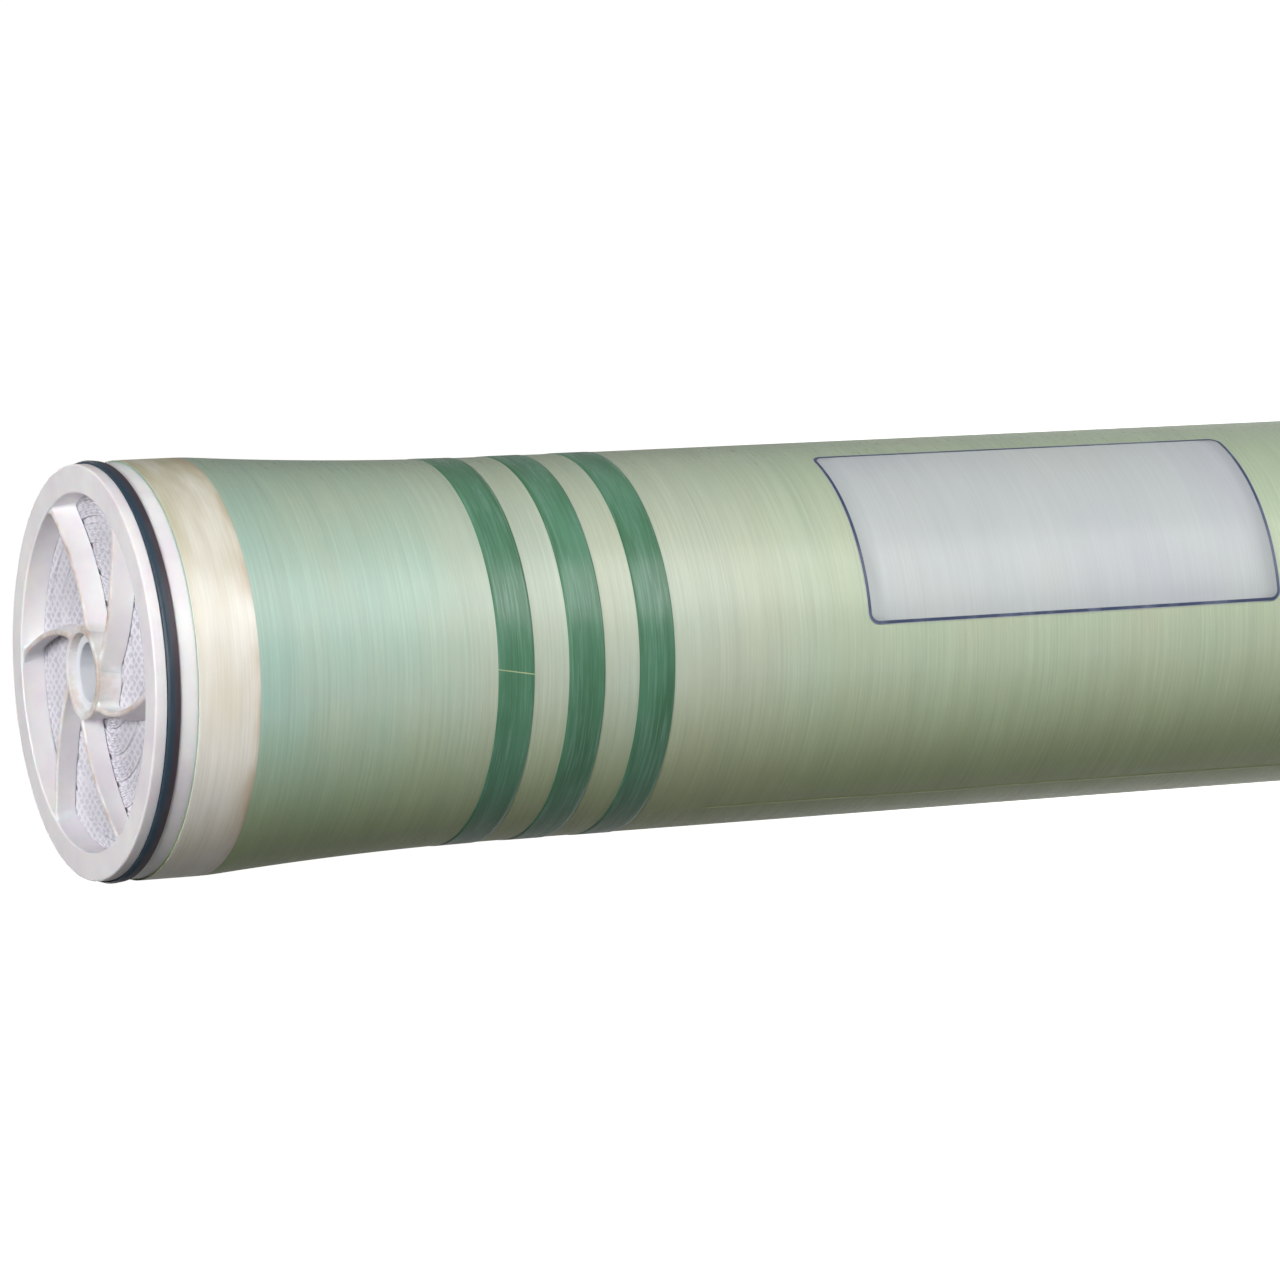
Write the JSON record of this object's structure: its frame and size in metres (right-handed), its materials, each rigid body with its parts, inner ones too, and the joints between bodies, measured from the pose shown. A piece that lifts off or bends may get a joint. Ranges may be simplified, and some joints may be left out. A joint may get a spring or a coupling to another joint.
{
  "type": "ro membrane element",
  "caption": "Spiral-wound reverse osmosis element: fibreglass-wrapped membrane scroll on a product water tube, swept-vane end caps, lip seal at the feed end.",
  "frame": {"origin": "centre of the rear end face, on the core tube's axis, at the box's bottom centre", "axes": "+Z along the core tube from the rear (concentrate) end to the feed end; the label faces -Y and +X"},
  "size_m": [0.2026, 0.2026, 1.016],
  "materials": {
    "tube_plastic": "satin",
    "membrane": "matt net",
    "film_tape": "gloss",
    "cap_plastic": "satin",
    "seal_rubber": "satin",
    "fibreglass": "gloss resin",
    "band_tape": "gloss under resin",
    "joint_tape": "gloss under resin",
    "label_film": "gloss under resin"
  },
  "bodies": {
    "root": {"core_tube": "tube_plastic", "membrane_scroll": "membrane", "scroll_tape": "film_tape", "feed_end_cap": "cap_plastic", "rear_end_cap": "cap_plastic", "brine_seal": "seal_rubber", "fibreglass_shell": "fibreglass", "marker_band_1": "band_tape", "marker_band_2": "band_tape", "marker_band_3": "band_tape", "feed_joint_tape": "joint_tape", "rear_joint_tape": "joint_tape", "product_label": "label_film"}
  },
  "joints": []
}
